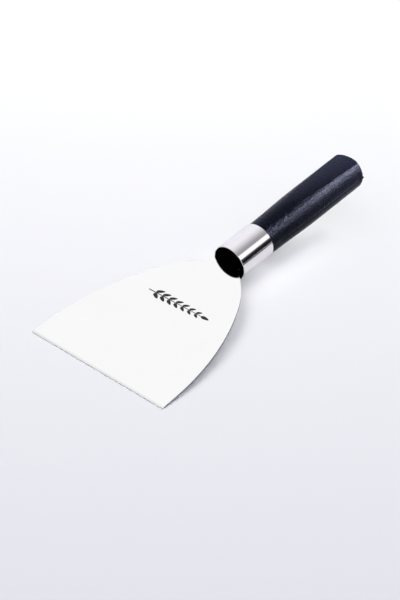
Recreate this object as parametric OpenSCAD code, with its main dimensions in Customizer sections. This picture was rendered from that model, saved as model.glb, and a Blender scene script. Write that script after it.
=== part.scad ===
// Bench scraper: a bell-shaped stainless blade whose tang runs through a
// steel ferrule into a moulded two-shell handle.
// The tool is drawn as it lies on a bench: the working edge and the lower rim
// of the ferrule's mouth touch the surface and the butt stands clear of it.
// X runs across the blade, Y from the working edge to the butt, Z up.

/* [Blade] */
// Width of the working edge
blade_w = 100; // [90:1:110]
// Length of the nearly straight part of each side, from the working edge
side_straight = 12; // [8:1:20]
// Taper of the nearly straight part, degrees
side_taper = 1.2; // [0.6:0.2:2]
// Radius of the long curve of each side
side_r = 160; // [150:5:175]
// Radius of the shoulder that rounds in towards the ferrule
shoulder_r = 70; // [60:2:80]
// Thickness of the sheet at the shoulder and the tang
sheet_t = 1.5; // [1.2:0.1:1.8]
// Thickness behind the edge bevel, after taper grinding
edge_t = 0.8; // [0.6:0.1:1]

/* [Tang] */
// Width of the tang where it leaves the ferrule
tang_w = 16.4; // [14:0.2:17]
// Width of the tang near its rear end
tang_end_w = 12; // [10:0.5:13]
// Length of the tang behind the ferrule's mouth
tang_l = 80; // [78:1:86]
// Diameter of the two locating holes in the tang
tang_hole_d = 4.2; // [4.2:0.1:4.6]

/* [Ferrule] */
// Outside diameter of the ferrule
ferrule_d = 23.2; // [22.6:0.1:24]
// Wall of the ferrule
ferrule_wall = 0.5; // [0.4:0.1:0.8]
// Length of the ferrule
ferrule_l = 26.8; // [25:0.2:32]
// Depth of the plug's face below the ferrule's mouth
plug_inset = 0.3; // [0:0.1:1]
// Length of the plug that closes the ferrule's mouth
plug_l = 8; // [6:0.5:10]

/* [Handle] */
// Length of the handle behind the ferrule
handle_l = 90.2; // [88:0.2:105]
// Depth of the step from the ferrule's surface down to the handle's neck
neck_step = 0.6; // [0.4:0.1:0.8]
// Radius of the round part of the grip where its flare ends
grip_r = 12.1; // [12:0.05:13]
// Radius of the round part of the grip at the butt
butt_r = 12.25; // [12.1:0.05:13.2]
// Length over which the handle flares from the ferrule's diameter
flare_l = 46; // [40:1:56]
// Height of the flats above the middle of the handle, at the butt
flat_end_h = 9.6; // [9:0.05:10.6]
// Slope of the flats at the butt, degrees
flat_slope = 2.2; // [1.6:0.1:2.6]
// Radius of the long crown of the flats
flat_crown_r = 5000; // [4000:500:9000]
// Rounding of the butt's rim
rim_r = 3; // [3:0.1:5]
// Bow of the butt's end, seen from above
butt_bow = 0.5; // [0:0.5:3]

/* [Locating pins] */
// Diameter of the pins through the tang
pin_d = 4; // [3.6:0.1:4]
// Length of the pins
pin_l = 14; // [10:0.5:15]

/* [Hidden] */
gap = 0.05;                       // clearance of pieces that fill one another

// Blade outline, right half: each side is a straight run, a long arc, a
// tighter shoulder arc, a short straight run and a fillet into the tang.
long_end = 29;                    // heading where the long arc ends, degrees
shoulder_end = 50;                // heading where the shoulder ends, degrees
neck_r = 4;                       // fillet between shoulder and tang
function step_arc(p, r, a0, a1, n) = [for (i = [1:n]) let (a = a0 + (a1 - a0) * i / n)
    [p[0] - r * (cos(a0) - cos(a)), p[1] + r * (sin(a) - sin(a0))]];
p0 = [blade_w / 2, 0];
p1 = [p0[0] - side_straight * tan(side_taper), side_straight];
arc1 = step_arc(p1, side_r, side_taper, long_end, 24);
p2 = arc1[23];
arc2 = step_arc(p2, shoulder_r, long_end, shoulder_end, 16);
p3 = arc2[15];
// the fillet starts where a straight run at the shoulder's heading has come
// close enough to the tang for neck_r to finish the turn
fillet_dx = neck_r * (1 - cos(shoulder_end));
run_dx = p3[0] - tang_w / 2 - fillet_dx;
p4 = [p3[0] - run_dx, p3[1] + run_dx / tan(shoulder_end)];
fillet = [for (i = [1:10]) let (a = shoulder_end * (1 - i / 10))
    [p4[0] - neck_r * (cos(a) - cos(shoulder_end)), p4[1] + neck_r * (sin(shoulder_end) - sin(a))]];
neck_y = fillet[9][1];
mouth_y = neck_y + 0.3;           // the ferrule's mouth
tang_y = mouth_y + tang_l;        // rear end of the tang
ground_y = p3[1] - 4;             // where the taper grinding starts
bevel_l = 1.2;                    // length of the bevel at the working edge
side = concat([p0, p1], arc1, arc2, [p4], fillet);

// Handle, measured along the axis from the ferrule's mouth.
join_y = mouth_y + ferrule_l;     // handle meets ferrule
butt_y = join_y + handle_l;       // rear end of the butt
ferrule_r = ferrule_d / 2;
bore_r = ferrule_r - ferrule_wall;
fill_r = bore_r - gap;            // plug and spigot inside the ferrule
start_r = ferrule_r - neck_step;  // radius of the handle right behind the ferrule
pin1_y = join_y + 15.5;
pin2_y = join_y + 41.5;
spigot_y = mouth_y + plug_inset + plug_l + 0.1;
peg_y = join_y + 62.5;
peg_x = 5.5;
peg_d = 3;

// Radius of the grip at a distance s behind the ferrule: an S-shaped flare,
// then a slow growth to the butt.
function smooth(t) = t * t * (3 - 2 * t);
function grip(s) = s < flare_l ? start_r + (grip_r - start_r) * smooth(s / flare_l)
    : grip_r + (butt_r - grip_r) * (s - flare_l) / (handle_l - flare_l);
// Height of the flats at a distance d in front of the butt.
function flat_h(d) = flat_end_h + d * tan(flat_slope) - d * d / (2 * flat_crown_r);
n_flare = 14;
n_rim = 6;
grip_pts = concat(
    [for (i = [0:n_flare]) let (s = flare_l * i / n_flare) [grip(s), s]],
    [for (i = [0:n_rim]) let (a = 90 * i / n_rim)
        [butt_r - rim_r * (1 - cos(a)), handle_l - rim_r * (1 - sin(a))]]);
flat_pts = concat(
    [for (i = [n_rim:-1:0]) let (a = 90 * i / n_rim)
        [handle_l - rim_r * (1 - sin(a)), flat_h(rim_r) - rim_r * (1 - cos(a))]],
    [for (i = [1:8]) let (d = rim_r + (handle_l - rim_r - 12) * i / 8) [handle_l - d, flat_h(d)]]);

// Rest: the lower front edge and the ferrule's lower rim touch the bench.
nose_t = 0.5;                     // thickness of the very edge
rest_tilt = atan((ferrule_r - nose_t / 2) / mouth_y);
lift = nose_t / 2 * cos(rest_tilt);
centre_y = (butt_y * cos(rest_tilt) + (flat_end_h - rim_r) * sin(rest_tilt)) / 2;

module rest() {
    translate([0, -centre_y, lift]) rotate([rest_tilt, 0, 0]) children();
}

// Turns a shape drawn in XY and extruded along Z into one that runs along Y.
module along_y(y) {
    translate([0, y, 0]) rotate([-90, 0, 0]) children();
}

// Plan of the tang, widened by e on every side.
module tang_plan(y0, e = 0) {
    r = tang_end_w / 2 + e;
    polygon([[tang_w / 2 + e, y0], [tang_w / 2 + e, mouth_y + 30], [r, tang_y - 8],
        [-r, tang_y - 8], [-tang_w / 2 - e, mouth_y + 30], [-tang_w / 2 - e, y0]]);
    translate([0, tang_y - 8]) intersection() {
        scale([1, 1]) circle(r = r, $fn = 48);
        translate([-r, 0]) square([2 * r, 2 * r]);
    }
}

module blade() color("gainsboro") rest() intersection() {
    difference() {
        translate([0, 0, -2]) linear_extrude(height = 4) union() {
            polygon(concat(side, [for (i = [len(side) - 1:-1:0]) [-side[i][0], side[i][1]]]));
            tang_plan(neck_y - 0.01);
        }
        for (y = [pin1_y, pin2_y])
            translate([0, y, -3]) cylinder(d = tang_hole_d, h = 6, $fn = 64);
    }
    // side profile: edge bevel, taper-ground face, flat tang
    rotate([90, 0, 90]) translate([0, 0, -blade_w]) linear_extrude(height = 2 * blade_w)
        polygon([[0, -nose_t / 2], [bevel_l, -edge_t / 2], [ground_y, -sheet_t / 2], [tang_y + 5, -sheet_t / 2],
            [tang_y + 5, sheet_t / 2], [ground_y, sheet_t / 2], [bevel_l, edge_t / 2], [0, nose_t / 2]]);
}

module ferrule() color("silver") rest() along_y(mouth_y) rotate_extrude($fn = 128)
    polygon([[bore_r, 0.1], [bore_r + 0.1, 0], [ferrule_r - 0.15, 0], [ferrule_r, 0.15],
        [ferrule_r, ferrule_l - 0.15], [ferrule_r - 0.15, ferrule_l], [bore_r, ferrule_l]]);

module tang_slot(y0, e) {
    translate([0, 0, -sheet_t / 2 - e]) linear_extrude(height = sheet_t + 2 * e) tang_plan(y0, e);
}

module ferrule_plug() color("black") rest() difference() {
    along_y(mouth_y + plug_inset) cylinder(r = fill_r, h = plug_l, $fn = 128);
    tang_slot(mouth_y - 1, gap);
}

// Outside of the whole grip: a turned shape with two crowned flats and an end
// that bows outwards in plan.
module grip_body() intersection() {
    along_y(join_y) rotate_extrude($fn = 128) polygon(concat([[0, 0]], grip_pts, [[0, handle_l]]));
    translate([-20, join_y, 0]) rotate([90, 0, 90]) linear_extrude(height = 40) polygon(concat(
        [[-1, 20], [-1, -20], [0, -20]],
        [for (i = [len(flat_pts) - 1:-1:0]) [flat_pts[i][0], -flat_pts[i][1]]],
        flat_pts, [[0, 20]]));
    translate([0, join_y, -20]) linear_extrude(height = 40) polygon(concat([[-20, -1]],
        [for (x = [-20:1:20]) [x, handle_l - butt_bow * pow(x / butt_r, 2)]], [[20, -1]]));
}

module pocket(s0, s1, r) {
    along_y(join_y + s0) cylinder(r = r, h = s1 - s0, $fn = 96);
}

// One shell, drawn as the upper one: body, spigot and everything cut from them.
module shell() difference() {
    intersection() {
        union() {
            grip_body();
            // spigot inside the ferrule, on a core that overlaps the grip
            along_y(spigot_y) cylinder(r = fill_r, h = join_y - spigot_y, $fn = 128);
            along_y(spigot_y + 1) cylinder(r = start_r - 1, h = join_y - spigot_y + 1, $fn = 128);
        }
        translate([-20, mouth_y, 0]) cube([40, ferrule_l + handle_l + 5, 20]);
    }
    tang_slot(mouth_y, 2 * gap);
    pocket(3, 10.5, 7.8);
    pocket(20.5, 36.5, 8.6);
    pocket(46.5, 60, 8.2);
    pocket(65, handle_l - 8, 7.2);
    for (y = [pin1_y, pin2_y])
        translate([0, y, -1]) cylinder(d = pin_d + 2 * gap, h = pin_l / 2 + 1.2, $fn = 64);
}

module handle_upper() color([0.09, 0.1, 0.13]) rest() difference() {
    shell();
    // sockets for the lower shell's pegs
    for (x = [-peg_x, peg_x]) translate([x, peg_y, -1]) cylinder(d = peg_d + 2 * gap, h = 4.2, $fn = 48);
}

module handle_lower() color([0.11, 0.12, 0.15]) rest() {
    mirror([0, 0, 1]) shell();
    for (x = [-peg_x, peg_x]) translate([x, peg_y, -2]) cylinder(d = peg_d, h = 5, $fn = 48);
}

module tang_pins() color("dimgray") rest() for (y = [pin1_y, pin2_y])
    translate([0, y, -pin_l / 2]) cylinder(d = pin_d, h = pin_l, $fn = 64);

blade();
ferrule();
ferrule_plug();
handle_upper();
handle_lower();
tang_pins();
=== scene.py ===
import math

import bpy
import numpy as np
from mathutils import Matrix, Vector
from mathutils.geometry import delaunay_2d_cdt


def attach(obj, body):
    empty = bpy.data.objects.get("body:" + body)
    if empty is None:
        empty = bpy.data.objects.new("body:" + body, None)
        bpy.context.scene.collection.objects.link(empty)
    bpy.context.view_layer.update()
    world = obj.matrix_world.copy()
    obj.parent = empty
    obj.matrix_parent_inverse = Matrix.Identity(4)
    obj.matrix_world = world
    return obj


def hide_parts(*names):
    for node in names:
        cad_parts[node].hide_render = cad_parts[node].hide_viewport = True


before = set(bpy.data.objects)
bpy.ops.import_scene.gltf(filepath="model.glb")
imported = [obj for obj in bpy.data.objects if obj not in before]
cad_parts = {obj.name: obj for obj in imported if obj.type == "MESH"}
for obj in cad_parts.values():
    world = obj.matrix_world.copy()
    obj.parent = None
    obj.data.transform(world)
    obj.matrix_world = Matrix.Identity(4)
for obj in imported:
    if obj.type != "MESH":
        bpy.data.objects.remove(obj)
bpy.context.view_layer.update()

# ---------------------------------------------------------------------------
# Dimensions in millimetres, in the tool's own frame: X across the blade, Y from
# the working edge to the butt, Z out of the blade's face. Same as the CAD.
# ---------------------------------------------------------------------------
BLADE_W, SIDE_STRAIGHT, SIDE_TAPER, SIDE_R, SHOULDER_R = 100.0, 12.0, 1.2, 160.0, 70.0
SHEET_T, EDGE_T, NOSE_T, BEVEL_L = 1.5, 0.8, 0.5, 1.2
TANG_W, TANG_END_W, TANG_L, TANG_HOLE_D = 16.4, 12.0, 80.0, 4.2
FERRULE_R, FERRULE_WALL, FERRULE_L, PLUG_INSET, PLUG_L = 11.6, 0.5, 26.8, 0.3, 8.0
HANDLE_L, NECK_STEP, GRIP_R, BUTT_R, FLARE_L = 90.2, 0.6, 12.1, 12.25, 46.0
FLAT_END_H, FLAT_SLOPE, FLAT_CROWN_R, RIM_R = 9.6, 2.2, 5000.0, 3.0
PIN_D, PIN_L = 4.0, 14.0
LONG_END, SHOULDER_END, NECK_R = 29.0, 50.0, 4.0
GAP = 0.05


def rad(a):
    return math.radians(a)


def step_arc(p, r, a0, a1, n):
    out = []
    for i in range(1, n + 1):
        a = a0 + (a1 - a0) * i / n
        out.append((p[0] - r * (math.cos(rad(a0)) - math.cos(rad(a))),
                    p[1] + r * (math.sin(rad(a)) - math.sin(rad(a0))), a))
    return out


P0 = (BLADE_W / 2, 0.0)
P1 = (P0[0] - SIDE_STRAIGHT * math.tan(rad(SIDE_TAPER)), SIDE_STRAIGHT)
ARC1 = step_arc(P1, SIDE_R, SIDE_TAPER, LONG_END, 60)
ARC2 = step_arc(ARC1[-1], SHOULDER_R, LONG_END, SHOULDER_END, 24)
P3 = ARC2[-1]
RUN_DX = P3[0] - TANG_W / 2 - NECK_R * (1 - math.cos(rad(SHOULDER_END)))
P4 = (P3[0] - RUN_DX, P3[1] + RUN_DX / math.tan(rad(SHOULDER_END)))
NECK_Y = P4[1] + NECK_R * math.sin(rad(SHOULDER_END))
MOUTH_Y = NECK_Y + 0.3
TANG_Y = MOUTH_Y + TANG_L
GROUND_Y = P3[1] - 4
JOIN_Y = MOUTH_Y + FERRULE_L
BUTT_Y = JOIN_Y + HANDLE_L
START_R = FERRULE_R - NECK_STEP
BORE_R = FERRULE_R - FERRULE_WALL
FILL_R = BORE_R - GAP
SPIGOT_Y = MOUTH_Y + PLUG_INSET + PLUG_L + 0.1
PIN1_Y, PIN2_Y, PEG_Y, PEG_X, PEG_D = JOIN_Y + 15.5, JOIN_Y + 41.5, JOIN_Y + 62.5, 5.5, 3.0
REST_TILT = math.atan((FERRULE_R - NOSE_T / 2) / MOUTH_Y)
LIFT = NOSE_T / 2 * math.cos(REST_TILT)
CENTRE_Y = (BUTT_Y * math.cos(REST_TILT) + (FLAT_END_H - RIM_R) * math.sin(REST_TILT)) / 2
ROT = np.array([[1, 0, 0],
                [0, math.cos(REST_TILT), -math.sin(REST_TILT)],
                [0, math.sin(REST_TILT), math.cos(REST_TILT)]])
OFFSET = np.array([0, -CENTRE_Y, LIFT])


def to_row(p):
    """Tool-frame millimetres to row-frame metres."""
    return (np.asarray(p, float) @ ROT.T + OFFSET) * 0.001


# ---------------------------------------------------------------------------
# Mesh building: shared points, with a normal of its own at each face corner.
# ---------------------------------------------------------------------------
class Mesh:
    def __init__(self):
        self.v, self.f, self.n = [], [], []

    def add(self, pts):
        start = len(self.v)
        self.v.extend([tuple(map(float, p)) for p in pts])
        return list(range(start, start + len(pts)))

    def face(self, idx, normals):
        """normals: one vector for a flat face, or one for each corner."""
        if isinstance(normals, tuple):
            normals = [normals] * len(idx)
        self.f.append(list(idx))
        self.n.append([tuple(map(float, n)) for n in normals])

    def strip(self, a, b, na, nb, closed=True):
        """Quads between two loops of the same length; na and nb are corner normals."""
        m = len(a)
        for i in range(m if closed else m - 1):
            j = (i + 1) % m
            self.face([a[i], a[j], b[j], b[i]], [na[i], na[j], nb[j], nb[i]])

    def cap(self, outer, holes, axes, normal, flip=False):
        """Triangulates a flat region. axes are the two coordinates to lay it out in."""
        loops = [outer] + holes
        pts, edges, ids = [], [], []
        for loop in loops:
            s = len(pts)
            for k in loop:
                pts.append(Vector((self.v[k][axes[0]], self.v[k][axes[1]])))
                ids.append(k)
            edges += [(s + i, s + (i + 1) % len(loop)) for i in range(len(loop))]
        vo, _, fo, ov, _, _ = delaunay_2d_cdt(pts, edges, [], 0, 1e-7)
        polys = [np.array([(self.v[k][axes[0]], self.v[k][axes[1]]) for k in loop]) for loop in loops]

        def inside(poly, p):
            x, y = poly[:, 0], poly[:, 1]
            x2, y2 = np.roll(x, -1), np.roll(y, -1)
            cond = (y > p[1]) != (y2 > p[1])
            with np.errstate(divide="ignore", invalid="ignore"):
                xi = (x2 - x) * (p[1] - y) / (y2 - y) + x
            return bool(np.count_nonzero(cond & (p[0] < xi)) % 2)

        for tri in fo:
            c = sum((np.array(vo[k]) for k in tri), np.zeros(2)) / len(tri)
            if inside(polys[0], c) and not any(inside(q, c) for q in polys[1:]):
                t = [ids[ov[k][0]] for k in tri]
                a, b, d = (np.array([self.v[k][axes[0]], self.v[k][axes[1]]]) for k in t[:3])
                ccw = (b - a)[0] * (d - a)[1] - (b - a)[1] * (d - a)[0] > 0
                if ccw == flip:
                    t.reverse()
                self.face(t, normal)

    def join(self, other, mirror_z=False):
        s = len(self.v)
        k = -1.0 if mirror_z else 1.0
        self.v += [(x, y, k * z) for x, y, z in other.v]
        for f, n in zip(other.f, other.n):
            f = [s + i for i in f]
            n = [(x, y, k * z) for x, y, z in n]
            if mirror_z:
                f.reverse()
                n.reverse()
            self.f.append(f)
            self.n.append(n)

    def build(self, name, material):
        co = to_row(np.array(self.v))
        me = bpy.data.meshes.new(name)
        me.from_pydata(co.tolist(), [], self.f)
        me.polygons.foreach_set("use_smooth", [True] * len(me.polygons))
        nn = np.array([n for face in self.n for n in face], float) @ ROT.T
        ln = np.linalg.norm(nn, axis=1, keepdims=True)
        nn = nn / np.where(ln < 1e-9, 1, ln)
        me.validate(clean_customdata=False)
        me.update()
        me.normals_split_custom_set(nn.tolist())
        # tool-frame position in millimetres, for the procedural materials
        at = me.attributes.new("tool_mm", "FLOAT_VECTOR", "POINT")
        at.data.foreach_set("vector", np.array(self.v, np.float32).ravel())
        me.materials.append(material)
        ob = bpy.data.objects.new(name, me)
        bpy.context.scene.collection.objects.link(ob)
        return ob


def arc_steps(n):
    return [90.0 * i / n for i in range(n + 1)]


# ---------------------------------------------------------------------------
# Materials
# ---------------------------------------------------------------------------
class Nodes:
    def __init__(self, name):
        self.mat = bpy.data.materials.new(name)
        self.mat.use_nodes = True
        self.t = self.mat.node_tree
        self.bsdf = next(n for n in self.t.nodes if n.type == "BSDF_PRINCIPLED")
        self.out = next(n for n in self.t.nodes if n.type == "OUTPUT_MATERIAL")

    def new(self, kind, **props):
        n = self.t.nodes.new(kind)
        for k, v in props.items():
            setattr(n, k, v)
        return n

    def link(self, a, b):
        self.t.links.new(a, b)

    def coord(self, scale=(1, 1, 1)):
        """Position in tool millimetres times scale."""
        a = self.new("ShaderNodeAttribute", attribute_name="tool_mm")
        m = self.new("ShaderNodeVectorMath", operation="MULTIPLY")
        m.inputs[1].default_value = scale
        self.link(a.outputs["Vector"], m.inputs[0])
        return m.outputs[0]

    def noise(self, vec, scale, detail=2.0, rough=0.5, distortion=0.0):
        n = self.new("ShaderNodeTexNoise")
        n.inputs["Scale"].default_value = scale
        n.inputs["Detail"].default_value = detail
        n.inputs["Roughness"].default_value = rough
        n.inputs["Distortion"].default_value = distortion
        self.link(vec, n.inputs["Vector"])
        return n.outputs["Fac"]

    def remap(self, sock, a, b, c, d, smooth=False):
        n = self.new("ShaderNodeMapRange", interpolation_type="SMOOTHSTEP" if smooth else "LINEAR", clamp=True)
        for i, v in enumerate((a, b, c, d)):
            n.inputs[1 + i].default_value = v
        self.link(sock, n.inputs[0])
        return n.outputs[0]

    def math(self, op, a, b=None):
        n = self.new("ShaderNodeMath", operation=op)
        for i, s in enumerate((a, b)):
            if s is None:
                continue
            if isinstance(s, (int, float)):
                n.inputs[i].default_value = s
            else:
                self.link(s, n.inputs[i])
        return n.outputs[0]

    def mix(self, fac, c1, c2):
        n = self.new("ShaderNodeMix", data_type="RGBA")
        for s, v in ((n.inputs[0], fac), (n.inputs[6], c1), (n.inputs[7], c2)):
            if isinstance(v, tuple):
                s.default_value = v if len(v) == 4 else (*v, 1)
            elif isinstance(v, (int, float)):
                s.default_value = v
            else:
                self.link(v, s)
        return n.outputs[2]

    def bump(self, height, strength, distance, normal=None):
        n = self.new("ShaderNodeBump")
        n.inputs["Strength"].default_value = strength
        n.inputs["Distance"].default_value = distance
        self.link(height, n.inputs["Height"])
        if normal is not None:
            self.link(normal, n.inputs["Normal"])
        return n.outputs[0]


def blade_steel():
    m = Nodes("blade_steel")
    b = m.bsdf
    b.inputs["Metallic"].default_value = 1.0
    v = m.coord()
    cloud = m.noise(v, 0.035, 3.0, 0.55)
    fine = m.noise(v, 0.9, 3.0, 0.6)
    hair = m.noise(m.coord((0.04, 1.6, 1.0)), 1.0, 2.0, 0.6)
    col = m.mix(m.remap(cloud, 0.3, 0.7, 0, 1), (0.837, 0.841, 0.806), (0.852, 0.856, 0.821))
    # painted shade: the sheared sides of the sheet, picked by facing away from up, are painted dark and made duller;
    # the ground working edge is made duller only
    cut = m.new("ShaderNodeAttribute")
    cut.attribute_type = "GEOMETRY"
    cut.attribute_name = "side_shade_and_dull_edge"
    col = m.mix(m.math("MAXIMUM", cut.outputs["Fac"], 0.0), col, (0.16, 0.15, 0.175))
    m.link(col, b.inputs["Base Color"])
    r = m.math("ADD", m.remap(fine, 0.3, 0.7, 0.035, 0.055), m.remap(cloud, 0.35, 0.7, 0.0, 0.02))
    r = m.math("ADD", r, m.math("MAXIMUM", m.math("MULTIPLY", cut.outputs["Fac"], 0.3), m.math("MULTIPLY", cut.outputs["Fac"], -0.6)))
    m.link(r, b.inputs["Roughness"])
    n = m.bump(hair, 0.04, 0.00002)
    m.link(n, b.inputs["Normal"])
    return m.mat


def ferrule_steel():
    m = Nodes("ferrule_steel")
    b = m.bsdf
    b.inputs["Metallic"].default_value = 1.0
    draw = m.noise(m.coord((1.0, 0.03, 1.0)), 1.6, 3.0, 0.6)
    fine = m.noise(m.coord((1.0, 0.12, 1.0)), 6.0, 2.0, 0.6)
    cloud = m.noise(m.coord(), 0.12, 2.0, 0.5)
    col = m.mix(m.remap(cloud, 0.3, 0.7, 0, 1), (0.765, 0.745, 0.762), (0.805, 0.785, 0.802))
    m.link(col, b.inputs["Base Color"])
    m.link(m.math("ADD", m.remap(draw, 0.3, 0.7, 0.07, 0.12), m.remap(fine, 0.3, 0.7, 0.0, 0.03)), b.inputs["Roughness"])
    n = m.bump(draw, 0.03, 0.00001)
    n = m.bump(fine, 0.02, 0.00001, n)
    m.link(n, b.inputs["Normal"])
    return m.mat


def handle_plastic(name, painted_light_gain=1.0, gloss=0.06, relief=1.0):
    m = Nodes(name)
    b = m.bsdf
    v = m.coord()
    cloud = m.noise(v, 0.08, 3.0, 0.55)
    grain = m.noise(v, 0.86, 1.5, 0.6)
    pit = m.new("ShaderNodeTexVoronoi", feature="F1")
    pit.inputs["Scale"].default_value = 0.75
    m.link(v, pit.inputs["Vector"])
    # painted light and shade: the plastic's colour is painted lighter towards the butt and darker towards the
    # ferrule, where shade falls
    sep = m.new("ShaderNodeSeparateXYZ")
    m.link(v, sep.inputs[0])
    painted_light_to_butt = m.remap(sep.outputs[1], JOIN_Y + 5, JOIN_Y + 100, 0, 1)
    painted_light_to_butt = m.math("MULTIPLY", painted_light_to_butt, m.math("ADD", painted_light_to_butt, m.remap(cloud, 0.3, 0.7, -0.08, 0.08)))
    dark = m.mix(m.remap(cloud, 0.3, 0.7, 0, 1), tuple(painted_light_gain * c for c in (0.0006, 0.0012, 0.0052)), tuple(painted_light_gain * c for c in (0.0012, 0.0020, 0.0072)))
    col = m.mix(painted_light_to_butt, dark, tuple(painted_light_gain * c for c in (0.0135, 0.0160, 0.0360)))
    col = m.mix(m.remap(grain, 0.55, 0.75, 0, 0.5), col, tuple(painted_light_gain * c for c in (0.0060, 0.0070, 0.0130)))
    m.link(col, b.inputs["Base Color"])
    m.link(m.math("ADD", m.remap(cloud, 0.3, 0.7, 0.27, 0.33), m.remap(grain, 0.40, 0.66, 0.13, -0.21)), b.inputs["Roughness"])
    b.inputs["Specular IOR Level"].default_value = gloss
    b.inputs["Specular Tint"].default_value = (0.50, 0.56, 1.0, 1)
    n = m.bump(cloud, 0.1, 0.0004)
    n = m.bump(grain, 1.0, 0.00037 * relief, n)
    n = m.bump(m.remap(pit.outputs["Distance"], 0.0, 0.35, 0, 1), 0.6, 0.00016 * relief, n)
    m.link(n, b.inputs["Normal"])
    return m.mat


def plug_plastic():
    m = Nodes("plug_plastic")
    b = m.bsdf
    grain = m.noise(m.coord(), 2.2, 2.0, 0.5)
    m.link(m.mix(grain, (0.0006, 0.0006, 0.0007), (0.0016, 0.0016, 0.0018)), b.inputs["Base Color"])
    m.link(m.remap(grain, 0.3, 0.7, 0.5, 0.6), b.inputs["Roughness"])
    b.inputs["Specular IOR Level"].default_value = 0.0
    m.link(m.bump(grain, 0.2, 0.00003), b.inputs["Normal"])
    return m.mat


def ink():
    m = Nodes("mark_ink")
    b = m.bsdf
    grain = m.noise(m.coord(), 3.0, 3.0, 0.6)
    m.link(m.mix(m.remap(grain, 0.3, 0.7, 0, 1), (0.012, 0.012, 0.014), (0.03, 0.03, 0.033)), b.inputs["Base Color"])
    m.link(m.remap(grain, 0.3, 0.7, 0.4, 0.55), b.inputs["Roughness"])
    b.inputs["Specular IOR Level"].default_value = 0.2
    m.link(m.bump(grain, 0.2, 0.00001), b.inputs["Normal"])
    return m.mat


def pin_steel():
    m = Nodes("pin_steel")
    b = m.bsdf
    b.inputs["Metallic"].default_value = 1.0
    tc = m.new("ShaderNodeTexCoord")
    mp = m.new("ShaderNodeVectorMath", operation="MULTIPLY")
    mp.inputs[1].default_value = (1000, 1000, 60)
    m.link(tc.outputs["Object"], mp.inputs[0])
    g = m.noise(mp.outputs[0], 1.5, 3.0, 0.6)
    m.link(m.mix(g, (0.5, 0.5, 0.5), (0.62, 0.62, 0.61)), b.inputs["Base Color"])
    m.link(m.remap(g, 0.3, 0.7, 0.28, 0.4), b.inputs["Roughness"])
    m.link(m.bump(g, 0.2, 0.00002), b.inputs["Normal"])
    return m.mat


# ---------------------------------------------------------------------------
# Blade: rows across the width, with rounded cut edges; the tang's rear part is
# triangulated around its two holes.
# ---------------------------------------------------------------------------
def half_t(y):
    if y < BEVEL_L:
        return NOSE_T / 2 + (EDGE_T - NOSE_T) / 2 * y / BEVEL_L
    if y < GROUND_Y:
        return EDGE_T / 2 + (SHEET_T - EDGE_T) / 2 * (y - BEVEL_L) / (GROUND_Y - BEVEL_L)
    return SHEET_T / 2


def slope_t(y):
    if y < BEVEL_L - 1e-6:
        return (EDGE_T - NOSE_T) / 2 / BEVEL_L
    if y < GROUND_Y - 1e-6:
        return (SHEET_T - EDGE_T) / 2 / (GROUND_Y - BEVEL_L)
    return 0.0


def blade_outline():
    """Right side from the working edge to the tang's end: x, y, heading in degrees (0 = along +Y, positive = turning in)."""
    c = 0.35                                       # corner rounding
    a = SIDE_TAPER
    out = []
    cy = c
    cx = P0[0] - c / math.cos(rad(a)) * 1.0 - c * math.tan(rad(a))
    for i in range(0, 7):                          # corner: heading -90 .. taper
        h = -90 + (90 + a) * i / 6
        out.append((cx + c * math.cos(rad(h)), cy + c * math.sin(rad(h)), h))
    for y in (BEVEL_L, 3.0, 6.0, 9.0, SIDE_STRAIGHT):
        out.append((P0[0] - y * math.tan(rad(a)), y, a))
    out += ARC1 + ARC2
    y = GROUND_Y
    # a row exactly where the grinding ends
    for i in range(len(out) - 1):
        if out[i][1] < y < out[i + 1][1] and min(y - out[i][1], out[i + 1][1] - y) > 1e-3:
            t = (y - out[i][1]) / (out[i + 1][1] - out[i][1])
            out.insert(i + 1, tuple(out[i][k] + t * (out[i + 1][k] - out[i][k]) for k in range(3)))
            break
    for i in range(1, 4):
        t = i / 4
        out.append((P3[0] + t * (P4[0] - P3[0]), P3[1] + t * (P4[1] - P3[1]), SHOULDER_END))
    for i in range(0, 13):                         # neck fillet back to heading 0
        h = SHOULDER_END * (1 - i / 12)
        out.append((P4[0] - NECK_R * (math.cos(rad(h)) - math.cos(rad(SHOULDER_END))),
                    P4[1] + NECK_R * (math.sin(rad(SHOULDER_END)) - math.sin(rad(h))), h))
    return out


def tang_outline():
    """Right side of the tang behind the neck, ending on the axis."""
    out = [(TANG_W / 2, MOUTH_Y + d, 0.0) for d in (2, 8, 16, 24, 30)]
    a = math.degrees(math.atan((TANG_W - TANG_END_W) / 2 / (TANG_Y - 8 - MOUTH_Y - 30)))
    y0, y1 = MOUTH_Y + 30, TANG_Y - 8
    for i in range(1, 11):
        t = i / 10
        out.append((TANG_W / 2 + t * (TANG_END_W - TANG_W) / 2, y0 + t * (y1 - y0), a))
    r = TANG_END_W / 2
    for i in range(1, 17):
        h = 90.0 * i / 16
        out.append((r * math.cos(rad(h)), y1 + r * math.sin(rad(h)), h))
    return out


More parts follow.
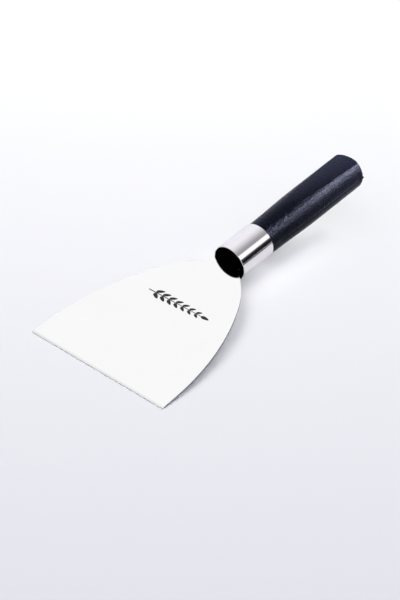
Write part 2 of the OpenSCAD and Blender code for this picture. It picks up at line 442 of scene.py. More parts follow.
def make_blade(material):
    m = Mesh()
    r = 0.12
    head = blade_outline()
    tail = tang_outline()
    right = head + tail
    n_head = len(head)
    left = [(-x, y, h) for x, y, h in right[:-1]][::-1]
    loop = [(x, y, math.cos(rad(h)), math.sin(rad(h))) for x, y, h in right]
    loop += [(x, y, -math.cos(rad(h)), math.sin(rad(h))) for x, y, h in left]
    # the working edge itself, from left to right
    n_front = 40
    xf = loop[0][0]
    front = [(-xf + 2 * xf * i / n_front, 0.0, 0.0, -1.0) for i in range(1, n_front)]
    full = loop + front
    rings, norms = [], []
    steps = 4
    for side in (1, -1):
        seq = arc_steps(steps)
        if side == -1:
            seq = seq[::-1]
        for a in seq:                              # a: 0 on the face, 90 on the cut edge
            ring, nr = [], []
            inset = r * (1 - math.sin(rad(a)))
            for x, y, nx, ny in full:
                px, py = x - nx * inset, y - ny * inset
                hz = half_t(max(py, 0))
                z = hz - r * (1 - math.cos(rad(a)))
                s = slope_t(max(py, 0)) if a == 0 else 0.0
                ring.append((px, py, side * z))
                v = np.array([nx * math.sin(rad(a)), ny * math.sin(rad(a)) - s, side * math.cos(rad(a))])
                nr.append(tuple(v / np.linalg.norm(v)))
            rings.append(m.add(ring))
            norms.append(nr)
    for k in range(len(rings) - 1):
        m.strip(rings[k + 1], rings[k], norms[k + 1], norms[k])
    # the two faces
    n_r = len(right)
    n_loop = len(loop)
    for side, ring in ((1, rings[0]), (-1, rings[-1])):
        cols = n_front
        rows = []
        # row 0 is the working edge's inset line
        row0 = [ring[n_loop - 1]] + ring[n_loop:] + [ring[0]]
        rows.append(row0)
        for i in range(1, n_head):
            a, b = ring[n_loop - 1 - i], ring[i]
            pa, pb = np.array(m.v[a]), np.array(m.v[b])
            mid = [tuple(pa + (pb - pa) * j / cols) for j in range(1, cols)]
            rows.append([a] + m.add(mid) + [b])
        for k in range(len(rows) - 1):
            y0, y1 = m.v[rows[k][0]][1], m.v[rows[k + 1][0]][1]
            s = slope_t((y0 + y1) / 2)
            n = np.array([0, -s, side * 1.0])
            n = tuple(n / np.linalg.norm(n))
            for j in range(cols):
                f = [rows[k][j], rows[k][j + 1], rows[k + 1][j + 1], rows[k + 1][j]]
                if side < 0:
                    f.reverse()
                m.face(f, n)
        # tang with its holes
        outer = rows[-1] + [ring[i] for i in range(n_head, n_loop - n_head)]
        holes = []
        for cy in (PIN1_Y, PIN2_Y):
            pts = [(TANG_HOLE_D / 2 * math.cos(2 * math.pi * i / 48), cy + TANG_HOLE_D / 2 * math.sin(2 * math.pi * i / 48),
                    side * SHEET_T / 2) for i in range(48)]
            holes.append(m.add(pts))
        m.cap(outer, holes, (0, 1), (0.0, 0.0, float(side)), flip=side < 0)
        if side == 1:
            top_holes = holes
        else:
            for t, bt in zip(top_holes, holes):
                nn = [(-math.cos(2 * math.pi * i / 48), -math.sin(2 * math.pi * i / 48), 0.0) for i in range(48)]
                m.strip(t, bt, nn, nn)
    return m.build("blade_sheet", material)


# ---------------------------------------------------------------------------
# Ferrule and plug
# ---------------------------------------------------------------------------
def make_ferrule(material):
    m = Mesh()
    r = 0.17
    prof = []                                     # radius, y, normal radial, normal y
    for a in arc_steps(5):                        # front outer rim
        prof.append((FERRULE_R - r + r * math.sin(rad(a)), r - r * math.cos(rad(a)), math.sin(rad(a)), -math.cos(rad(a))))
    for i in range(1, 12):
        prof.append((FERRULE_R, r + (FERRULE_L - 2 * r) * i / 12, 1.0, 0.0))
    for a in arc_steps(5):                        # rear outer rim
        prof.append((FERRULE_R - r + r * math.cos(rad(a)), FERRULE_L - r + r * math.sin(rad(a)), math.cos(rad(a)), math.sin(rad(a))))
    r2 = 0.1
    for a in arc_steps(3):                        # rear inner rim
        prof.append((BORE_R + r2 - r2 * math.sin(rad(a)), FERRULE_L - r2 + r2 * math.cos(rad(a)), -math.sin(rad(a)), math.cos(rad(a))))
    for i in range(1, 12):
        prof.append((BORE_R, FERRULE_L - r2 - (FERRULE_L - 2 * r2) * i / 12, -1.0, 0.0))
    for a in arc_steps(3):                        # front inner rim
        prof.append((BORE_R + r2 - r2 * math.cos(rad(a)), r2 - r2 * math.sin(rad(a)), -math.cos(rad(a)), -math.sin(rad(a))))
    seg = 192
    rings, norms = [], []
    for R, y, nr, ny in prof:
        pts, nn = [], []
        for i in range(seg):
            t = 2 * math.pi * i / seg
            pts.append((R * math.cos(t), MOUTH_Y + y, R * math.sin(t)))
            nn.append((nr * math.cos(t), ny, nr * math.sin(t)))
        rings.append(m.add(pts))
        norms.append(nn)
    for k in range(len(rings)):
        j = (k + 1) % len(rings)
        m.strip(rings[k], rings[j], norms[k], norms[j])
    m.f = [f[::-1] for f in m.f]
    m.n = [n[::-1] for n in m.n]
    return m.build("ferrule_tube", material)


def make_plug(material):
    m = Mesh()
    seg = 96
    y0, y1 = MOUTH_Y + PLUG_INSET, MOUTH_Y + PLUG_INSET + PLUG_L
    c = 0.25
    rings, norms = [], []
    prof = [(FILL_R - c + c * math.sin(rad(a)), y0 + c - c * math.cos(rad(a)), math.sin(rad(a)), -math.cos(rad(a))) for a in arc_steps(4)]
    prof += [(FILL_R - c + c * math.cos(rad(a)), y1 - c + c * math.sin(rad(a)), math.cos(rad(a)), math.sin(rad(a))) for a in arc_steps(4)]
    for R, y, nr, ny in prof:
        t = [2 * math.pi * i / seg for i in range(seg)]
        rings.append(m.add([(R * math.cos(u), y, R * math.sin(u)) for u in t]))
        norms.append([(nr * math.cos(u), ny, nr * math.sin(u)) for u in t])
    for k in range(len(rings) - 1):
        m.strip(rings[k + 1], rings[k], norms[k + 1], norms[k])
    hx, hz, q = TANG_W / 2 + GAP, SHEET_T / 2 + GAP, 0.12
    slot = []
    for cx, cz, a0 in ((hx - q, hz - q, 0), (-hx + q, hz - q, 90), (-hx + q, -hz + q, 180), (hx - q, -hz + q, 270)):
        for a in arc_steps(3):
            slot.append((cx + q * math.cos(rad(a0 + a)), cz + q * math.sin(rad(a0 + a)), -math.cos(rad(a0 + a)), -math.sin(rad(a0 + a))))
    sa = m.add([(x, y0, z) for x, z, _, _ in slot])
    sb = m.add([(x, y1, z) for x, z, _, _ in slot])
    nn = [(nx, 0.0, nz) for _, _, nx, nz in slot]
    m.strip(sa, sb, nn, nn)
    m.cap(rings[0], [sa], (0, 2), (0.0, -1.0, 0.0), flip=False)
    m.cap(rings[-1], [sb], (0, 2), (0.0, 1.0, 0.0), flip=True)
    return m.build("mouth_plug", material)


# ---------------------------------------------------------------------------
# Handle shells
# ---------------------------------------------------------------------------
def smooth01(t):
    t = min(max(t, 0.0), 1.0)
    return t * t * (3 - 2 * t)


def grip(s):
    if s < FLARE_L:
        return START_R + (GRIP_R - START_R) * smooth01(s / FLARE_L)
    return GRIP_R + (BUTT_R - GRIP_R) * (s - FLARE_L) / (HANDLE_L - FLARE_L)


def flat_h(s):
    d = HANDLE_L - s
    return FLAT_END_H + d * math.tan(rad(FLAT_SLOPE)) - d * d / (2 * FLAT_CROWN_R)


def flat_r(s, th):
    """Radius at which angle th meets the flat, which is crowned a little across as well."""
    crown = 26.0 + 30.0 * smooth01((s - 50) / 40)
    a = np.cos(th) ** 2 / (2 * crown)
    F = flat_h(s) + 0.22
    st = np.maximum(np.sin(th), 0.0)
    return 2 * F / (st + np.sqrt(st * st + 4 * a * F))


def section(s, th):
    """Outside of a shell at distance s behind the ferrule and angle th above the seam: radius."""
    R = grip(s)
    F = flat_r(s, th)
    k = 0.16 + 0.25 * (1 - smooth01((s - 10) / 70))      # crease rounding, tighter towards the butt
    h = np.clip(0.5 + 0.5 * (F - R) / k, 0, 1)
    r = F * (1 - h) + R * h - k * h * (1 - h)
    return np.minimum(r, R)


def make_shell(name, material, upper):
    m = Mesh()
    zs = 0.04                                     # half of the seam's gap
    er = 0.34                                     # rounding of the seam's edge
    nth = 150
    th = np.linspace(0, np.pi, nth + 1)
    # rows: a rounded front rim at the ferrule, the length, then the butt's rim and end
    s_list = [(0.0, 0.25, 'f'), (0.03, 0.12, 'f'), (0.1, 0.03, 'f'), (0.2, 0.0, 'f')]
    body = [0.2 + (HANDLE_L - RIM_R - 0.2) * i / 96 for i in range(1, 97)]
    rows = [(s, d) for s, d, _ in s_list] + [(s, 0.0) for s in body]
    bow = 0.5
    cap_rows = []
    for a in [90.0 * i / 20 for i in range(1, 21)]:
        cap_rows.append((HANDLE_L - RIM_R + RIM_R * math.sin(rad(a)), RIM_R * (1 - math.cos(rad(a)))))
    inner = [RIM_R + (BUTT_R - RIM_R) * t for t in (0.08, 0.2, 0.35, 0.5, 0.65, 0.8, 0.92)]
    lam_end = 1 - RIM_R / BUTT_R

    def point(s, d, tht, on_cap):
        if on_cap:
            # the turned rim, met by the flats, with the meeting edge rounded
            R = BUTT_R - d
            F = flat_r(HANDLE_L - RIM_R, tht)
            k = 0.16 + 0.45 * min(1.0, d / RIM_R)
            h = np.clip(0.5 + 0.5 * (F - R) / k, 0, 1)
            r = np.minimum(F * (1 - h) + R * h - k * h * (1 - h), R)
        else:
            r = section(s, tht)
        x, z = r * np.cos(tht), r * np.sin(tht)
        y = np.full_like(x, s)
        if on_cap:
            y = y - bow * (np.hypot(x, z) / BUTT_R) ** 2 * min(1.0, (s - (HANDLE_L - RIM_R)) / RIM_R)
        return x, y, z

    all_rows = [(s, d, False) for s, d in rows] + [(s, d, True) for s, d in cap_rows] + [(HANDLE_L, d, True) for d in inner]
    grid = []
    for s, d, c in all_rows:
        x, y, z = point(s, d, th, c)
        grid.append(np.stack([x, y + JOIN_Y, z], 1))
    G = np.array(grid)                            # rows, columns, xyz
    # the seam's edge: the shell starts at z = zs, with a rounding that draws the side in
    Z = G[:, :, 2].copy()
    side = np.sign(G[:, :, 0])
    t = np.clip((Z - 0.0) / er, 0, 1)
    pull = er * (1 - np.sqrt(np.clip(1 - (1 - t) ** 2, 0, 1))) * (t < 1)
    w = np.clip((np.hypot(G[:, :, 0], 0)) / 3.0, 0, 1)
    # a little flash stands out of the seam near the butt, on the lower shell
    G[:, :, 2] = zs + Z * (1 - zs / 12.0)
    rad_len = np.hypot(G[:, :, 0], Z)
    inward = np.where(rad_len[..., None] > 1e-6, np.stack([G[:, :, 0], np.zeros_like(Z), np.zeros_like(Z)], 2) / np.maximum(np.abs(G[:, :, 0:1]), 1e-6), 0)
    is_cap = np.array([1.0 if c else 0.0 for _, _, c in all_rows])[:, None]
    lam = np.array([1 - d / BUTT_R for _, d, _ in all_rows])[:, None]
    G[:, :, 0] -= side * pull * w * 0.8
    G[:, :, 1] -= pull * is_cap * (1 - lam * 0.6) * 0.8
    if not upper:
        y_end = JOIN_Y + HANDLE_L
        near = np.exp(-((y_end - 2.6 - G[:, :, 1]) / 2.2) ** 2) * np.clip(np.abs(G[:, :, 0]) / 9.0, 0, 1) ** 2
        fin = 0.9 * np.exp(-(Z / 0.32) ** 2) * near
        G[:, :, 0] += side * fin
        G[:, :, 1] += fin * 0.6 * is_cap
    # normals from neighbouring points
    du = np.gradient(G, axis=0)
    dv = np.gradient(G, axis=1)
    N = np.cross(dv, du)
    L = np.linalg.norm(N, axis=2, keepdims=True)
    N = N / np.where(L < 1e-12, 1, L)
    if N[40, nth // 2, 2] < 0:
        N = -N
    ids = [m.add(row) for row in G[:-1]]
    last = G[-1]
    ids.append(m.add(last))
    nr = [[tuple(q) for q in row] for row in N]
    for k in range(len(ids) - 1):
        for j in range(nth):
            m.face([ids[k][j], ids[k + 1][j], ids[k + 1][j + 1], ids[k][j + 1]],
                   [nr[k][j], nr[k + 1][j], nr[k + 1][j + 1], nr[k][j + 1]])
    # the middle of the butt
    c = m.add([(0.0, JOIN_Y + HANDLE_L, zs)])[0]
    for j in range(nth):
        m.face([ids[-1][j], c, ids[-1][j + 1]], [nr[-1][j], (0.0, 1.0, 0.0), nr[-1][j + 1]])
    # spigot inside the ferrule
    seg = nth
    front_r = FILL_R
    sp = []
    spn = []
    for y, R in ((SPIGOT_Y + 0.2, front_r), (JOIN_Y - 0.02, front_r)):
        sp.append(m.add([(R * math.cos(a), y, zs + R * math.sin(a)) for a in th]))
    fr = m.add([((front_r - 0.2) * math.cos(a), SPIGOT_Y, zs + (front_r - 0.2) * math.sin(a)) for a in th])
    rn = [(math.cos(a), 0.0, math.sin(a)) for a in th]
    cn = [(math.cos(a) * 0.7, -0.7, math.sin(a) * 0.7) for a in th]
    m.strip(sp[0], fr, cn, cn, closed=False)
    m.strip(sp[1], sp[0], rn, rn, closed=False)
    # shoulder between the spigot and the grip's front rim
    m.strip(ids[0], sp[1], [(0.0, 1.0, 0.0)] * (nth + 1), [(0.0, 1.0, 0.0)] * (nth + 1), closed=False)
    # slot for the tang
    e = 2 * GAP
    zc = SHEET_T / 2 + e
    tang = [(TANG_W / 2 + e, SPIGOT_Y, 0.0), (TANG_W / 2 + e, MOUTH_Y + 30, 0.0)]
    y1 = TANG_Y - 8
    re = TANG_END_W / 2 + e
    tang += [(re * math.cos(rad(90.0 * i / 12)), y1 + re * math.sin(rad(90.0 * i / 12)), 90.0 * i / 12) for i in range(13)]
    tang = tang + [(-x, y, -h) for x, y, h in tang[:-1]][::-1]
    lo = m.add([(x, y, zs) for x, y, _ in tang])
    hi = m.add([(x, y, zc) for x, y, _ in tang])
    for i in range(len(tang) - 1):
        ax, ay, _ = tang[i]
        bx, by, _ = tang[i + 1]
        n = np.array([-(by - ay), bx - ax, 0.0])
        n = n / np.linalg.norm(n)
        m.face([lo[i], hi[i], hi[i + 1], lo[i + 1]], tuple(n))
    # pin wells in the slot's ceiling
    wells = []
    wr, wz = PIN_D / 2 + GAP, PIN_L / 2 + 0.2
    for cy2 in (PIN1_Y, PIN2_Y):
        cc = [(math.cos(2 * math.pi * i / 40), math.sin(2 * math.pi * i / 40)) for i in range(40)]
        a = m.add([(wr * u, cy2 + wr * v, zc) for u, v in cc])
        b = m.add([(wr * u, cy2 + wr * v, wz) for u, v in cc])
        nn = [(-u, -v, 0.0) for u, v in cc]
        m.strip(b, a, nn, nn)
        m.cap(b, [], (0, 1), (0.0, 0.0, -1.0), flip=True)
        wells.append(a)
    m.cap(hi, wells, (0, 1), (0.0, 0.0, -1.0), flip=True)
    # peg sockets or pegs
    pegs = []
    for px in (-PEG_X, PEG_X):
        cc = [(math.cos(2 * math.pi * i / 32), math.sin(2 * math.pi * i / 32)) for i in range(32)]
        if upper:
            R, zt = PEG_D / 2 + GAP, 3.2
        else:
            R, zt = PEG_D / 2, -3.0
        a = m.add([(px + R * u, PEG_Y + R * v, zs) for u, v in cc])
        if upper:
            b = m.add([(px + R * u, PEG_Y + R * v, zt) for u, v in cc])
            nn = [(-u, -v, 0.0) for u, v in cc]
            m.strip(b, a, nn, nn)
            m.cap(b, [], (0, 1), (0.0, 0.0, -1.0), flip=True)
        else:
            b = m.add([(px + R * u, PEG_Y + R * v, zt + 0.3) for u, v in cc])
            d = m.add([(px + (R - 0.3) * u, PEG_Y + (R - 0.3) * v, zt) for u, v in cc])
            nn = [(u, v, 0.0) for u, v in cc]
            nc = [(u * 0.7, v * 0.7, -0.7) for u, v in cc]
            m.strip(b, a, nn, nn)
            m.strip(d, b, nc, nc)
            m.cap(d, [], (0, 1), (0.0, 0.0, -1.0), flip=True)
        pegs.append(a)
    # the seam face: right edge from the spigot to the butt's middle, then the left edge and the slot
    right = [fr[0], sp[0][0], sp[1][0]] + [row[0] for row in ids] + [c]
    left = [row[-1] for row in ids][::-1] + [sp[1][-1], sp[0][-1], fr[-1]]
    seam = right + left + lo[::-1]
    m.cap(seam, pegs, (0, 1), (0.0, 0.0, -1.0), flip=True)
    # the spigot's front face, around the slot
    front = fr + [lo[-1], hi[-1], hi[0], lo[0]]
    m.cap(front, [], (0, 2), (0.0, -1.0, 0.0), flip=False)
    if not upper:
        q = Mesh()
        q.join(m, mirror_z=True)
        m = q
    return m.build(name, material)


# ---------------------------------------------------------------------------
# A plain ear of grain in thin dark print, where the blade carries its mark
# ---------------------------------------------------------------------------
def prism(m, pts, z0, z1, zf):
    """A closed flat prism on the blade's face. zf gives the face's height at a y."""
    n = len(pts)
    lo = m.add([(x, y, zf(y) + z0) for x, y in pts])
    hi = m.add([(x, y, zf(y) + z1) for x, y in pts])
    c = np.mean(np.array(pts), 0)
    ct = m.add([(c[0], c[1], zf(c[1]) + z1)])[0]
    cb = m.add([(c[0], c[1], zf(c[1]) + z0)])[0]
    for i in range(n):
        j = (i + 1) % n
        d = np.array(pts[j]) - np.array(pts[i])
        nn = np.array([d[1], -d[0], 0.0])
        nn = nn / np.linalg.norm(nn)
        m.face([lo[i], lo[j], hi[j], hi[i]], tuple(nn))
        m.face([hi[i], hi[j], ct], (0.0, 0.0, 1.0))
        m.face([lo[j], lo[i], cb], (0.0, 0.0, -1.0))


def make_mark(material):
    m = Mesh()
    cx, cy = MARK_X, MARK_Y

    def grain_shape(px, py, ang, length, width):
        out = []
        length, width = length * MARK_K, width * MARK_K * 1.1
        for i in range(20):
            t = 2 * math.pi * i / 20
            u = math.cos(t)
            v = math.sin(t) * (1 - 0.35 * u)
            x, y = length / 2 * u, width / 2 * v
            out.append((px + x * math.cos(ang) - y * math.sin(ang), py + x * math.sin(ang) + y * math.cos(ang)))
        return out

    zf = half_t
    q = MARK_K
    ear = 7
    for i in range(ear):
        px = cx + (-14.0 + 4.1 * i) * q
        k = 1 - 0.05 * i
        for sg in (1, -1):
            prism(m, grain_shape(px, cy + sg * 1.8 * k * q, sg * rad(32), 4.4 * k, 1.75 * k), 0.002, 0.018, zf)
    prism(m, grain_shape(cx + (-14.0 + 4.1 * ear + 0.4) * q, cy, 0.0, 4.6, 1.7), 0.002, 0.018, zf)
    stem = [(cx - 20.0 * q, cy - 0.34), (cx + 13.0 * q, cy - 0.22), (cx + 13.0 * q, cy + 0.22), (cx - 20.0 * q, cy + 0.34)]
    prism(m, stem, 0.002, 0.018, zf)
    return m.build("grain_mark", material)


def tag_shaded_dull_edges(ob):
    """Marks the narrow sides of the sheet with 1, for their painted shade and dullness, and the working edge with -1,
    for its dullness.
    """
    me = ob.data
    att = me.attributes.new("side_shade_and_dull_edge", "FLOAT", "POINT")
    normals = [v.normal for v in me.vertices]
    up = Vector((0.0, -math.sin(rad(REST_TILT)), math.cos(rad(REST_TILT))))
    front = min(v.co.y for v in me.vertices)
    vals = []
    for v, n in zip(me.vertices, normals):
        flat = abs(n.dot(up))
        k = 1.0 - smooth01((flat - 0.30) / 0.35)
        vals.append(float(k) if v.co.y > front + 0.0006 else -float(k))
    att.data.foreach_set("value", vals)


MARK_X, MARK_Y, MARK_K = 2.6, 66.8, 1.22

mat_blade = blade_steel()
mat_ferrule = ferrule_steel()
mat_plug = plug_plastic()
mat_upper = handle_plastic("handle_plastic_upper")
# painted light: the lower shell is the same plastic painted 1.5 times lighter, for the light it takes from the table
# below
mat_lower = handle_plastic("handle_plastic_lower", 1.5, 0.035, 0.35)
mat_ink = ink()
mat_pin = pin_steel()

blade = make_blade(mat_blade)
tag_shaded_dull_edges(blade)
ferrule = make_ferrule(mat_ferrule)
plug = make_plug(mat_plug)
upper = make_shell("shell_upper", mat_upper, True)
lower = make_shell("shell_lower", mat_lower, False)
mark = make_mark(mat_ink)

for piece, node, slot in ((blade, "blade", "blade_steel"), (ferrule, "ferrule", "ferrule_steel"), (plug, "ferrule_plug", "plug_plastic"),
                          (upper, "handle_upper", "handle_plastic"), (lower, "handle_lower", "handle_plastic")):
    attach(piece, "root")
    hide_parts(node)
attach(mark, "root")

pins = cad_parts["tang_pins"]
pins.data.materials.clear()
pins.data.materials.append(mat_pin)

# ---------------------------------------------------------------------------
# Table
# ---------------------------------------------------------------------------
def make_floor():
    me = bpy.data.meshes.new("table")
    n, size = 24, 12.0
    vs = [(-size / 2 + size * i / n, -size / 2 + size * j / n, 0.0) for j in range(n + 1) for i in range(n + 1)]
    fs = [(j * (n + 1) + i, j * (n + 1) + i + 1, (j + 1) * (n + 1) + i + 1, (j + 1) * (n + 1) + i) for j in range(n) for i in range(n)]
    me.from_pydata(vs, [], fs)
    ob = bpy.data.objects.new("table", me)
    bpy.context.scene.collection.objects.link(ob)
    m = Nodes("table_paper")
    tc = m.new("ShaderNodeTexCoord")
    g = m.noise(tc.outputs["Object"], 6.0, 3.0, 0.6)
    sep = m.new("ShaderNodeSeparateXYZ")
    m.link(tc.outputs["Object"], sep.inputs[0])
    # painted light: the table is painted bluer and a little lighter towards the camera
    near = m.remap(m.math("SUBTRACT", sep.outputs[0], sep.outputs[1]), -0.20, 0.30, 0, 1)
    far_c = m.mix(g, (0.868, 0.871, 0.886), (0.878, 0.881, 0.896))
    painted_light_near = m.mix(g, (0.874, 0.877, 0.912), (0.884, 0.887, 0.922))
    m.link(m.mix(near, far_c, painted_light_near), m.bsdf.inputs["Base Color"])
    m.bsdf.inputs["Roughness"].default_value = 0.75
    m.bsdf.inputs["Specular IOR Level"].default_value = 0.15
    me.materials.append(m.mat)
    return ob


floor = make_floor()

# ---------------------------------------------------------------------------
# Camera
# ---------------------------------------------------------------------------
F_PX, AZ, EL, ROLL, TX, TY, DIST = 1400.0, -44.6334, 40.5816, -5.0238, -0.570388, 0.374420, 7.602941


def add_camera():
    a, e, r = rad(AZ), rad(EL), rad(ROLL)
    fwd = np.array([math.sin(a) * math.cos(e), math.cos(a) * math.cos(e), -math.sin(e)])
    right = np.cross(fwd, [0, 0, 1])
    right /= np.linalg.norm(right)
    up = np.cross(right, fwd)
    r2 = math.cos(r) * right + math.sin(r) * up
    u2 = -math.sin(r) * right + math.cos(r) * up
    M = np.array([r2, -u2, fwd])
    centre = -(M.T @ np.array([TX, TY, DIST])) * 100.0     # tool millimetres
    loc = to_row(centre)
    X, Y, Z = ROT @ r2, ROT @ u2, ROT @ (-fwd)
    cam = bpy.data.cameras.new("camera")
    cam.lens = F_PX * 36.0 / 600.0
    cam.sensor_width = 36.0
    cam.sensor_fit = "AUTO"
    cam.clip_start, cam.clip_end = 0.01, 50.0
    ob = bpy.data.objects.new("camera", cam)
    ob.matrix_world = Matrix([[X[0], Y[0], Z[0], loc[0]], [X[1], Y[1], Z[1], loc[1]], [X[2], Y[2], Z[2], loc[2]], [0, 0, 0, 1]])
    bpy.context.scene.collection.objects.link(ob)
    bpy.context.scene.camera = ob
    return ob


camera = add_camera()

# ---------------------------------------------------------------------------
# Light: a world that is bright on the left, grey overhead and dark low on the
# right; a soft key from the left and a strip on the right.
# ---------------------------------------------------------------------------
def area(name, loc, target, sx, sy, power, color=(1, 1, 1), glossy=True, diffuse=True, spin=0.0):
    li = bpy.data.lights.new(name, "AREA")
    li.shape = "RECTANGLE"
    li.size, li.size_y = sx, sy
    li.energy = power
    li.color = color
    ob = bpy.data.objects.new(name, li)
    d = Vector(target) - Vector(loc)
    q = d.to_track_quat("-Z", "Y")
    ob.matrix_world = Matrix.Translation(Vector(loc)) @ q.to_matrix().to_4x4() @ Matrix.Rotation(spin, 4, "Z")
    ob.visible_glossy = glossy
    ob.visible_diffuse = diffuse
    ob.visible_camera = False
    bpy.context.scene.collection.objects.link(ob)
    return ob


def strip_light(name, psi, width_deg, dist, y0, y1, radiance, target=(0, 0.0, 0.01)):
    """A long strip parallel to Y, seen from the tool at angle psi from overhead towards +X."""
    w = 2 * dist * math.tan(rad(width_deg / 2))
    h = y1 - y0
    cx, cz = dist * math.sin(rad(psi)), dist * math.cos(rad(psi))
    loc = Vector((cx, (y0 + y1) / 2, cz))
    z = Vector((math.sin(rad(psi)), 0, math.cos(rad(psi))))
    y = Vector((0, 1, 0))
    x = y.cross(z)
    li = bpy.data.lights.new(name, "AREA")
    li.shape = "RECTANGLE"
    li.size, li.size_y = w, h
    li.energy = radiance * math.pi * w * h
    ob = bpy.data.objects.new(name, li)
    ob.matrix_world = Matrix([[x[0], y[0], z[0], loc[0]], [x[1], y[1], z[1], loc[1]], [x[2], y[2], z[2], loc[2]], [0, 0, 0, 1]])
    ob.visible_camera = False
    bpy.context.scene.collection.objects.link(ob)
    return ob


def make_world():
    w = bpy.data.worlds.new("studio")
    bpy.context.scene.world = w
    w.use_nodes = True
    t = w.node_tree
    t.nodes.clear()
    N, Lk = t.nodes.new, t.links.new
    tc = N("ShaderNodeTexCoord")
    sep = N("ShaderNodeSeparateXYZ")
    Lk(tc.outputs["Generated"], sep.inputs[0])
    at = N("ShaderNodeMath")
    at.operation = "ARCTAN2"
    Lk(sep.outputs["X"], at.inputs[0])
    Lk(sep.outputs["Z"], at.inputs[1])
    ramp = N("ShaderNodeValToRGB")
    mr = N("ShaderNodeMapRange")
    mr.inputs[1].default_value, mr.inputs[2].default_value = -math.pi, math.pi
    Lk(at.outputs[0], mr.inputs[0])
    Lk(mr.outputs[0], ramp.inputs[0])
    stops = WORLD_STOPS
    cr = ramp.color_ramp
    cr.interpolation = "EASE"
    while len(cr.elements) > 1:
        cr.elements.remove(cr.elements[-1])
    cr.elements[0].position = (stops[0][0] + 180) / 360
    cr.elements[0].color = (*stops[0][1], 1)
    for a, c in stops[1:]:
        e = cr.elements.new((a + 180) / 360)
        e.color = (*c, 1)
    # the stripes stand behind the tool; the other side of the room is even
    ym = N("ShaderNodeMapRange")
    ym.interpolation_type = "SMOOTHSTEP"
    ym.inputs[1].default_value, ym.inputs[2].default_value = 0.05, 0.32
    Lk(sep.outputs["Y"], ym.inputs[0])
    mx = N("ShaderNodeMix")
    mx.data_type = "RGBA"
    Lk(ym.outputs[0], mx.inputs[0])
    mx.inputs[6].default_value = (0.74, 0.75, 0.78, 1)
    Lk(ramp.outputs[0], mx.inputs[7])
    bg = N("ShaderNodeBackground")
    Lk(mx.outputs[2], bg.inputs[0])
    bg.inputs[1].default_value = 1.0
    # soft fill for everything that isn't a mirror reflection
    fill = N("ShaderNodeBackground")
    fr = N("ShaderNodeValToRGB")
    fm = N("ShaderNodeMapRange")
    fm.inputs[1].default_value, fm.inputs[2].default_value = -math.pi / 2, math.pi / 2
    Lk(at.outputs[0], fm.inputs[0])
    Lk(fm.outputs[0], fr.inputs[0])
    fe = fr.color_ramp.elements
    fe[0].position, fe[0].color = 0.0, (*FILL[0], 1)
    fe[1].position, fe[1].color = 1.0, (*FILL[2], 1)
    mid = fe.new(0.5)
    mid.color = (*FILL[1], 1)
    Lk(fr.outputs[0], fill.inputs[0])
    fill.inputs[1].default_value = 1.0
    cam = N("ShaderNodeBackground")
    cam.inputs[0].default_value = (0.93, 0.935, 0.96, 1)
    lp = N("ShaderNodeLightPath")
    gl = N("ShaderNodeMixShader")
    Lk(lp.outputs["Is Glossy Ray"], gl.inputs[0])
    Lk(fill.outputs[0], gl.inputs[1])
    Lk(bg.outputs[0], gl.inputs[2])
    mix = N("ShaderNodeMixShader")
    Lk(lp.outputs["Is Camera Ray"], mix.inputs[0])
    Lk(gl.outputs[0], mix.inputs[1])
    Lk(cam.outputs[0], mix.inputs[2])
    out = N("ShaderNodeOutputWorld")
    Lk(mix.outputs[0], out.inputs[0])


WORLD_STOPS = [(a, (v, v * 0.995, v * 1.04) if -60 < a < 91 else (v * 0.93, v * 0.95, v * 1.05)) for a, v in (
    (-180, 0.85), (-110, 1.12), (-32, 1.12), (-21, 1.05), (-10, 0.93), (2, 0.76), (13, 0.56), (24, 0.42), (36, 0.40),
    (39.5, 1.35), (59, 1.35), (66, 0.08), (76, 0.01), (90, 0.01), (92, 0.6), (180, 0.85))]
FILL = [(0.231, 0.228, 0.292), (0.231, 0.228, 0.292), (0.221, 0.218, 0.282)]
make_world()


def only(light, receivers=None, blockers=None):
    """Limits what a studio light reaches or is shaded by."""
    if receivers is not None:
        c = bpy.data.collections.new(light.name + "_lit")
        for o in receivers:
            c.objects.link(o)
        light.light_linking.receiver_collection = c
    if blockers is not None:
        c = bpy.data.collections.new(light.name + "_shade")
        for o in blockers:
            c.objects.link(o)
        light.light_linking.blocker_collection = c


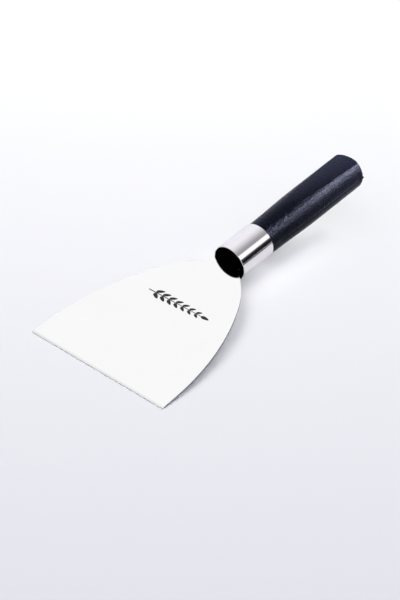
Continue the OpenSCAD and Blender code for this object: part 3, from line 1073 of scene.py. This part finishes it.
back = area("back", (-0.12, 1.15, 1.15), (0.0, 0.0, 0.0), 1.0, 0.9, 12.5, (0.998, 1.0, 0.965), glossy=False)
side = area("side", (-0.72, 0.12, 1.20), (0.0, 0.0, 0.0), 0.9, 0.9, 10.0, (0.996, 1.0, 0.930), glossy=False)
over = area("over", (0.0, 0.2, 1.6), (0.0, 0.0, 0.0), 2.2, 2.2, 5.0, (1.0, 1.0, 1.0), glossy=False)
over.data.use_shadow = False
pool = area("pool", (0.0095, 0.040, 0.016), (0.0095, 0.040, 0.0), 0.008, 0.060, 0.0019, (1.0, 1.0, 1.0), glossy=False)
pool.data.use_shadow = False
only(pool, receivers=(floor,))
for lamp in (back, side, over, pool):
    lamp.data.cycles.use_multiple_importance_sampling = False
only(back, blockers=(blade,))
only(side, blockers=(blade,))
left = strip_light("left", -75.0, 70.0, 0.6, 0.0, 1.2, 0.45)
left.data.color = (0.30, 0.48, 1.0)
left.visible_diffuse = False
only(left, receivers=(upper, lower))
band = strip_light("band", 41.0, 10.0, 0.30, 0.252, 0.75, 170.0)
band.visible_diffuse = False
only(band, receivers=(upper, lower))
tail = strip_light("tail", 62.0, 24.0, 0.30, 0.245, 0.9, 11.5)
tail.visible_diffuse = False
only(tail, receivers=(upper, lower))


def flag_card(x, y0, y1, z1):
    """A black card beside the tool that only mirror reflections see."""
    me = bpy.data.meshes.new("flag_card")
    t = 0.001
    vs = [(x + dx, y, z) for dx in (0, t) for y in (y0, y1) for z in (0.0002, z1)]
    me.from_pydata(vs, [], [(0, 1, 3, 2), (4, 6, 7, 5), (0, 4, 5, 1), (2, 3, 7, 6), (0, 2, 6, 4), (1, 5, 7, 3)])
    ob = bpy.data.objects.new("flag_card", me)
    bpy.context.scene.collection.objects.link(ob)
    m = Nodes("flag_card")
    g = m.noise(m.coord(), 0.2, 2.0, 0.5)
    m.link(m.mix(g, (0.010, 0.010, 0.010), (0.014, 0.014, 0.014)), m.bsdf.inputs["Base Color"])
    m.bsdf.inputs["Roughness"].default_value = 0.9
    me.materials.append(m.mat)
    ob.visible_camera = ob.visible_diffuse = ob.visible_shadow = False
    return ob


flag_card(0.115, -0.05, 0.30, 0.0125)

bpy.context.scene.view_settings.view_transform = "Standard"
bpy.context.scene.view_settings.look = "None"
bpy.context.scene.cycles.max_bounces = 8
